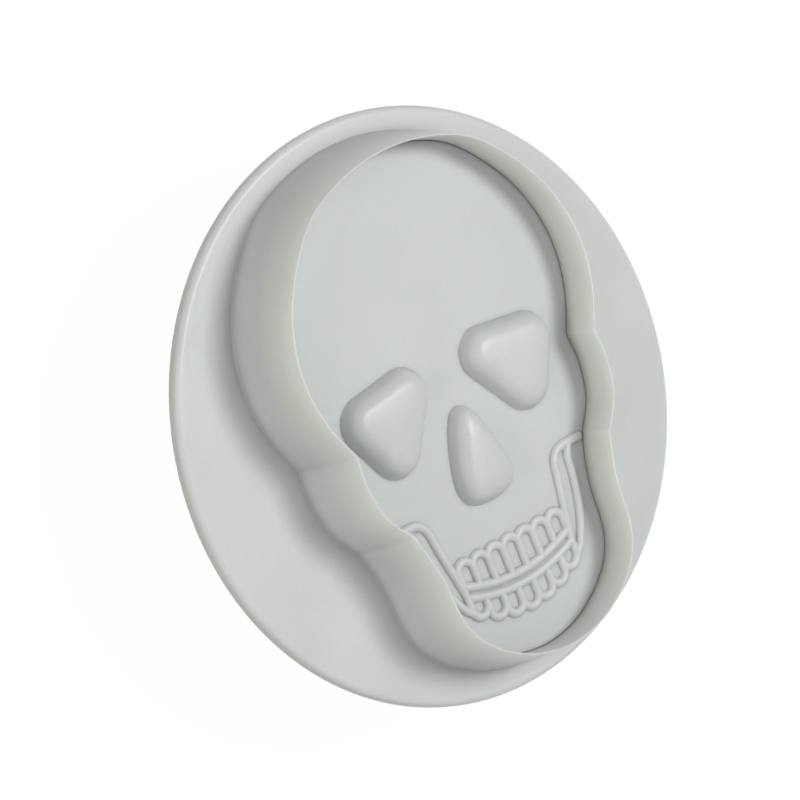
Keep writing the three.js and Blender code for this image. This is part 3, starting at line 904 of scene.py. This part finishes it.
# Materials: a scale is waves to a metre, and a bump is a strength and a depth in millimetres
PALE_LIGHT = (0.602, 0.626, 0.624)
PALE_DARK = (0.548, 0.571, 0.567)
PLASTIC_IOR = 1.46
PLASTIC_ROUGHNESS = (0.32, 0.42)
CLOUD_SCALE = 70
GRAIN_SCALE = 2600
RIPPLE_SCALE = 320
GRAIN_BUMP = (0.25, 0.012)
RIPPLE_BUMP = (0.2, 0.02)
CLOUD_SHARE = 0.5
SCATTER = 0.9
SCATTER_REACH = (1, 0.9, 0.7)
# Painted corner shade: occlusion samples, and the occlusion values at which the painted shade is full and at
# which it ends
CORNER_SHADE_SAMPLES = 8
SHADE_FULL_AT, SHADE_NONE_AT = 0.25, 0.95
NOISE_LOW, NOISE_HIGH = 0.3, 0.7
STEEL_BUMP = (0.15, 0.01)
STEEL_SHADE = 0.82
STEEL_SMOOTHER, STEEL_ROUGHER = 0.06, 0.08
STEEL_FINENESS = 6


def new_material(name):
    """A material with its node tree, its shader and the place on the object."""
    material = bpy.data.materials.new(name)
    material.use_nodes = True
    tree = material.node_tree
    shader = tree.nodes["Principled BSDF"]
    place = tree.nodes.new("ShaderNodeTexCoord")
    return material, tree, shader, place.outputs["Object"]


def noise(tree, place, scale, detail=3, roughness=0.5):
    """Soft random values over the object."""
    node = tree.nodes.new("ShaderNodeTexNoise")
    node.inputs["Scale"].default_value = scale
    node.inputs["Detail"].default_value = detail
    node.inputs["Roughness"].default_value = roughness
    tree.links.new(place, node.inputs["Vector"])
    return node.outputs["Fac"]


def spread(tree, value, low, high, from_low=NOISE_LOW, from_high=NOISE_HIGH):
    """The value's own range, which is a noise's if none is given, stretched over another one."""
    node = tree.nodes.new("ShaderNodeMapRange")
    node.inputs["From Min"].default_value = from_low
    node.inputs["From Max"].default_value = from_high
    node.inputs["To Min"].default_value = low
    node.inputs["To Max"].default_value = high
    tree.links.new(value, node.inputs["Value"])
    return node.outputs["Result"]


def tones(tree, value, dark, light):
    """A colour between two others, picked by a noise's value."""
    node = tree.nodes.new("ShaderNodeValToRGB")
    node.color_ramp.elements[0].position = NOISE_LOW
    node.color_ramp.elements[1].position = NOISE_HIGH
    node.color_ramp.elements[0].color = (*dark, 1)
    node.color_ramp.elements[1].color = (*light, 1)
    tree.links.new(value, node.inputs["Fac"])
    return node.outputs["Color"]


def painted_corner_shade(tree, colour, tint, reach_mm):
    """Painted shade: the colour darkened towards a tint where the surface is shut in by others, as an
    occlusion test finds within a reach.
    """
    occlusion = tree.nodes.new("ShaderNodeAmbientOcclusion")
    occlusion.samples = CORNER_SHADE_SAMPLES
    occlusion.inputs["Distance"].default_value = reach_mm * MM
    unshaded_share = spread(tree, occlusion.outputs["AO"], 0, 1, SHADE_FULL_AT, SHADE_NONE_AT)
    shade_blend = tree.nodes.new("ShaderNodeMix")
    shade_blend.data_type = "RGBA"
    shade_blend.blend_type = "MIX"
    tree.links.new(unshaded_share, shade_blend.inputs["Factor"])
    shade_blend.inputs["A"].default_value = (*tint, 1)
    shade_blend.inputs["B"].default_value = (1, 1, 1, 1)
    product = tree.nodes.new("ShaderNodeMix")
    product.data_type = "RGBA"
    product.blend_type = "MULTIPLY"
    product.inputs["Factor"].default_value = 1
    tree.links.new(colour, product.inputs["A"])
    tree.links.new(shade_blend.outputs["Result"], product.inputs["B"])
    return product.outputs["Result"]


def add_bump(tree, shader, height, bump, before=None):
    """A bump of a strength and a depth in millimetres, over the one before it."""
    strength, depth_mm = bump
    node = tree.nodes.new("ShaderNodeBump")
    node.inputs["Strength"].default_value = strength
    node.inputs["Distance"].default_value = depth_mm * MM
    tree.links.new(height, node.inputs["Height"])
    if before is not None:
        tree.links.new(before, node.inputs["Normal"])
    tree.links.new(node.outputs["Normal"], shader.inputs["Normal"])
    return node.outputs["Normal"]


def moulded_plastic(name, painted_shade_tint, painted_shade_reach, depth_mm):
    """Pale moulded plastic: an even matt skin, finely grained and faintly clouded, that lets some light in;
    painted shade darkens its colour in corners and creases.
    """
    material, tree, shader, place = new_material(name)
    cloud = noise(tree, place, CLOUD_SCALE, detail=2)
    grain = noise(tree, place, GRAIN_SCALE, detail=2, roughness=0.6)
    both = tree.nodes.new("ShaderNodeMix")
    both.inputs["Factor"].default_value = 1 - CLOUD_SHARE
    tree.links.new(cloud, both.inputs["A"])
    tree.links.new(grain, both.inputs["B"])
    base = tones(tree, both.outputs["Result"], PALE_DARK, PALE_LIGHT)
    # The base colour carries painted shade in corners and creases
    tree.links.new(painted_corner_shade(tree, base, painted_shade_tint, painted_shade_reach), shader.inputs["Base Color"])
    tree.links.new(spread(tree, grain, *PLASTIC_ROUGHNESS), shader.inputs["Roughness"])
    shader.inputs["IOR"].default_value = PLASTIC_IOR
    shader.inputs["Subsurface Weight"].default_value = SCATTER
    shader.inputs["Subsurface Scale"].default_value = depth_mm * MM
    shader.inputs["Subsurface Radius"].default_value = SCATTER_REACH
    fine = add_bump(tree, shader, grain, GRAIN_BUMP)
    add_bump(tree, shader, noise(tree, place, RIPPLE_SCALE), RIPPLE_BUMP, fine)
    return material


def drawn_steel(name, colour, roughness, scale):
    """Bright steel with faint uneven wear."""
    material, tree, shader, place = new_material(name)
    shader.inputs["Metallic"].default_value = 1
    wear = noise(tree, place, scale, detail=4)
    shade = tuple(STEEL_SHADE * c for c in colour)
    tree.links.new(tones(tree, wear, shade, colour), shader.inputs["Base Color"])
    rough = spread(tree, wear, roughness - STEEL_SMOOTHER, roughness + STEEL_ROUGHER)
    tree.links.new(rough, shader.inputs["Roughness"])
    add_bump(tree, shader, noise(tree, place, scale * STEEL_FINENESS), STEEL_BUMP)
    return material


# Each plastic has a tint and a reach in millimetres for its painted corner shade, and a scattering depth
plastic = moulded_plastic("pale_plastic", (0.7, 0.69, 0.64), painted_shade_reach=2.5, depth_mm=3)
plate_plastic = moulded_plastic("plate_plastic", (0.66, 0.66, 0.62), painted_shade_reach=0.8, depth_mm=1.6)
spring_steel = drawn_steel("spring_steel", (0.56, 0.56, 0.57), roughness=0.3, scale=400)
zinc_steel = drawn_steel("zinc_steel", (0.62, 0.63, 0.65), roughness=0.34, scale=700)


def dress(made, node, body, material):
    """Gives a piece its material, hangs it on the body that it rides on and hides the model's solid that it
    stands in for.
    """
    made.data.materials.clear()
    made.data.materials.append(material)
    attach(made, body)
    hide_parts(node)


dress(body_shell(), "cutter_body", "cutter", plastic)
dress(stamp_face(), "stamp_plate", "plunger", plate_plastic)
dress(knob_shell(), "palm_knob", "plunger", plastic)
dress(cap_disc(), "knob_cap", "plunger", plastic)
dress(stem_tube(), "plunger_stem", "plunger", plastic)
dress(screw_thread(), "plunger_screw", "plunger", zinc_steel)
dress(washer_ring(), "screw_washer", "plunger", zinc_steel)
coil = spring_coil()
dress(coil, "return_spring", "cutter", spring_steel)
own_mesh(coil)


# Floor, world and lamps, with sizes and distances in metres.
# Each lamp has a name, the way to it, its size, the light that it gives and its colour.
FLOOR_HALF = 1.6
FLOOR_DROP = 0.05
FLOOR_GREY = 0.42
FLOOR_WHITE = 1.08
FLOOR_SHARE = 0.9
AMBIENT = 0.4
AMBIENT_COLOUR = (1, 0.98, 0.945)
LAMP_DISTANCE = 1.4
COOL = (0.985, 1, 1)
WARM = (1, 0.98, 0.94)
LAMPS = [
    ("key", (0.4, 0.08, 0.91), 0.42, 0.52, COOL),
    ("side", (-0.94, 0.17, 0.28), 0.6, 0.22, WARM),
    ("front", (-0.55, 0.1, 0.83), 0.7, 0.11, COOL),
]


def floor():
    """A pale floor under the knob, plain white to the camera apart from the object's shadow."""
    half, level = FLOOR_HALF, -FLOOR_DROP * MM
    mesh = bpy.data.meshes.new("floor")
    corners = [(-half, -half, level), (half, -half, level), (half, half, level), (-half, half, level)]
    mesh.from_pydata(corners, [], [(0, 1, 2, 3)])
    made = bpy.data.objects.new("floor", mesh)
    bpy.context.collection.objects.link(made)
    material = bpy.data.materials.new("floor")
    material.use_nodes = True
    tree = material.node_tree
    tree.nodes.clear()
    output = tree.nodes.new("ShaderNodeOutputMaterial")
    seen = white_share(tree, FLOOR_SHARE)
    diffuse = tree.nodes.new("ShaderNodeBsdfDiffuse")
    diffuse.inputs["Color"].default_value = (FLOOR_GREY, FLOOR_GREY, FLOOR_GREY, 1)
    white = tree.nodes.new("ShaderNodeEmission")
    white.inputs["Strength"].default_value = FLOOR_WHITE
    mix = tree.nodes.new("ShaderNodeMixShader")
    tree.links.new(seen, mix.inputs["Fac"])
    tree.links.new(diffuse.outputs["BSDF"], mix.inputs[1])
    tree.links.new(white.outputs["Emission"], mix.inputs[2])
    tree.links.new(mix.outputs["Shader"], output.inputs["Surface"])
    mesh.materials.append(material)


def white_share(tree, share):
    """Share of plain white for rays from the camera or off metal."""
    path = tree.nodes.new("ShaderNodeLightPath")
    total = path.outputs["Is Camera Ray"]
    for name in ("Is Glossy Ray", "Is Transmission Ray"):
        node = tree.nodes.new("ShaderNodeMath")
        node.operation = "MAXIMUM"
        tree.links.new(total, node.inputs[0])
        tree.links.new(path.outputs[name], node.inputs[1])
        total = node.outputs["Value"]
    scaled = tree.nodes.new("ShaderNodeMath")
    scaled.operation = "MULTIPLY"
    scaled.inputs[1].default_value = share
    tree.links.new(total, scaled.inputs[0])
    return scaled.outputs["Value"]


def world(strength, colour):
    """Even light from all round, and plain white where the camera sees past the floor."""
    made = bpy.data.worlds.new("studio")
    made.use_nodes = True
    tree = made.node_tree
    tree.nodes.clear()
    output = tree.nodes.new("ShaderNodeOutputWorld")
    ambient = tree.nodes.new("ShaderNodeBackground")
    ambient.inputs["Color"].default_value = (*colour, 1)
    ambient.inputs["Strength"].default_value = strength
    white = tree.nodes.new("ShaderNodeBackground")
    white.inputs["Color"].default_value = (1, 1, 1, 1)
    white.inputs["Strength"].default_value = 1
    mix = tree.nodes.new("ShaderNodeMixShader")
    tree.links.new(white_share(tree, 1), mix.inputs["Fac"])
    tree.links.new(ambient.outputs["Background"], mix.inputs[1])
    tree.links.new(white.outputs["Background"], mix.inputs[2])
    tree.links.new(mix.outputs["Shader"], output.inputs["Surface"])
    bpy.context.scene.world = made


def area_light(name, direction, size, level, colour):
    """A round soft light that aims at the disc; level is the light it gives a surface that faces it."""
    data = bpy.data.lights.new(name, "AREA")
    data.shape = "DISK"
    data.size = size
    data.energy = level * math.pi * math.pi * LAMP_DISTANCE**2
    data.color = colour
    lamp = bpy.data.objects.new(name, data)
    way = Vector(direction).normalized()
    lamp.location = Vector((0, 0, DISC_FACE * MM)) + way * LAMP_DISTANCE
    lamp.rotation_mode = "QUATERNION"
    lamp.rotation_quaternion = way.to_track_quat("Z", "Y")
    bpy.context.collection.objects.link(lamp)


floor()
world(AMBIENT, AMBIENT_COLOUR)
for lamp in LAMPS:
    area_light(*lamp)

# Camera fitted to the photograph: its distance from the disc's centre, the way to it from there,
# the direction of the picture's right, and the place of that centre in pixels from the middle
EYE_DISTANCE = 922.5
SIGHT = Vector((-0.55266, 0.1748, 0.81487)).normalized()
RIGHT = Vector((0.73333, -0.36257, 0.57513))
FOCAL_PIXELS = 6189.7
CENTRE_SHIFT = (29.4, 5.07)
SENSOR = 36
FRAME_PIXELS = 800
NEAREST, FARTHEST = 0.05, 10


def camera():
    """The camera at the photograph's place and angle."""
    data = bpy.data.cameras.new("camera")
    data.sensor_width = SENSOR
    data.lens = FOCAL_PIXELS * SENSOR / FRAME_PIXELS
    data.clip_start = NEAREST
    data.clip_end = FARTHEST
    made = bpy.data.objects.new("camera", data)
    bpy.context.collection.objects.link(made)
    right = (RIGHT - SIGHT * RIGHT.dot(SIGHT)).normalized()
    up = SIGHT.cross(right)
    aim = right * (-CENTRE_SHIFT[0] / FOCAL_PIXELS) + up * (CENTRE_SHIFT[1] / FOCAL_PIXELS) - SIGHT
    back = -aim.normalized()
    right = (right - back * right.dot(back)).normalized()
    up = back.cross(right)
    place = Vector((0, 0, DISC_FACE)) + SIGHT * EYE_DISTANCE
    made.matrix_world = Matrix((
        (right.x, up.x, back.x, place.x * MM),
        (right.y, up.y, back.y, place.y * MM),
        (right.z, up.z, back.z, place.z * MM),
        (0, 0, 0, 1),
    ))
    bpy.context.scene.camera = made


camera()
bpy.context.scene.view_settings.view_transform = "Standard"
